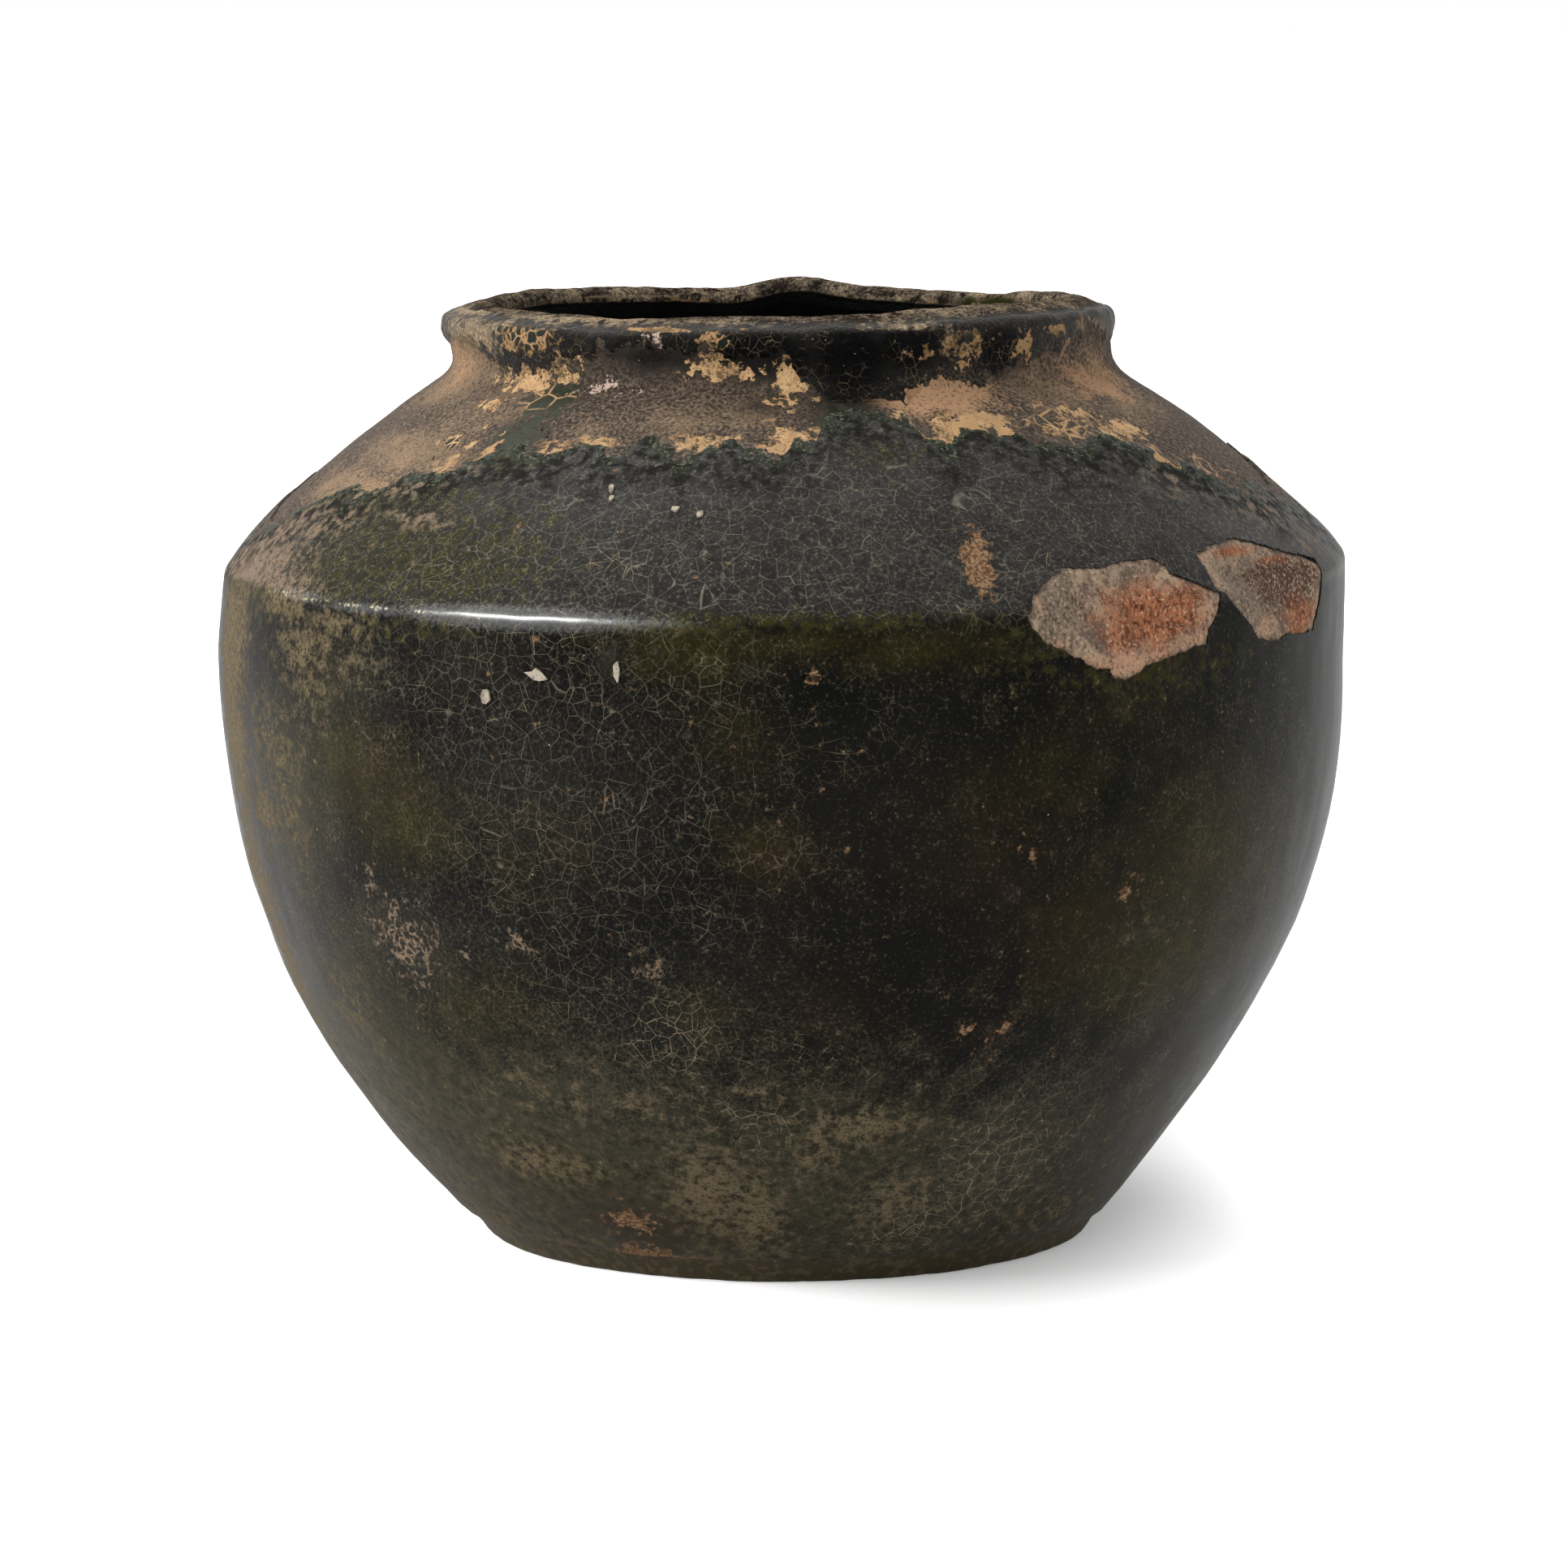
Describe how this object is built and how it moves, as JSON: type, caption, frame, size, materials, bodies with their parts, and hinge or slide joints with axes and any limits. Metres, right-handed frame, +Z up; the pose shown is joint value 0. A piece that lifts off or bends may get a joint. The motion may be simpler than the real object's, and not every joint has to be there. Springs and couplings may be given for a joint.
{
  "type": "glazed storage jar",
  "caption": "Wide shouldered earthenware storage jar with a worn dark lead glaze, a short collar and an open mouth.",
  "frame": {"origin": "centre of the foot on the ground it rests on, under the middle of the jar's outline", "axes": "+Z up along the turning axis, out of the mouth; -Y is the side that the picture shows, and +X is to its right, towards the spalls"},
  "size_m": [0.3307, 0.3316, 0.2775],
  "materials": {
    "earthenware": "matt fired earthenware, tan to brown-grey where soiled, rust red where freshly broken",
    "outer_glaze": "near-black olive lead glaze, glossy, crackled, with soil films",
    "buff_slip": "matt ochre-buff slip",
    "lip_glaze": "worn dark lead glaze, satin",
    "inner_glaze": "glossy black lead glaze"
  },
  "bodies": {
    "root": {"base_disc": "earthenware", "lower_wall": "earthenware", "shoulder": "earthenware", "collar": "earthenware", "outer_glaze": "outer_glaze", "slip_band": "buff_slip", "lip_glaze": "lip_glaze", "inner_glaze": "inner_glaze"}
  },
  "joints": []
}
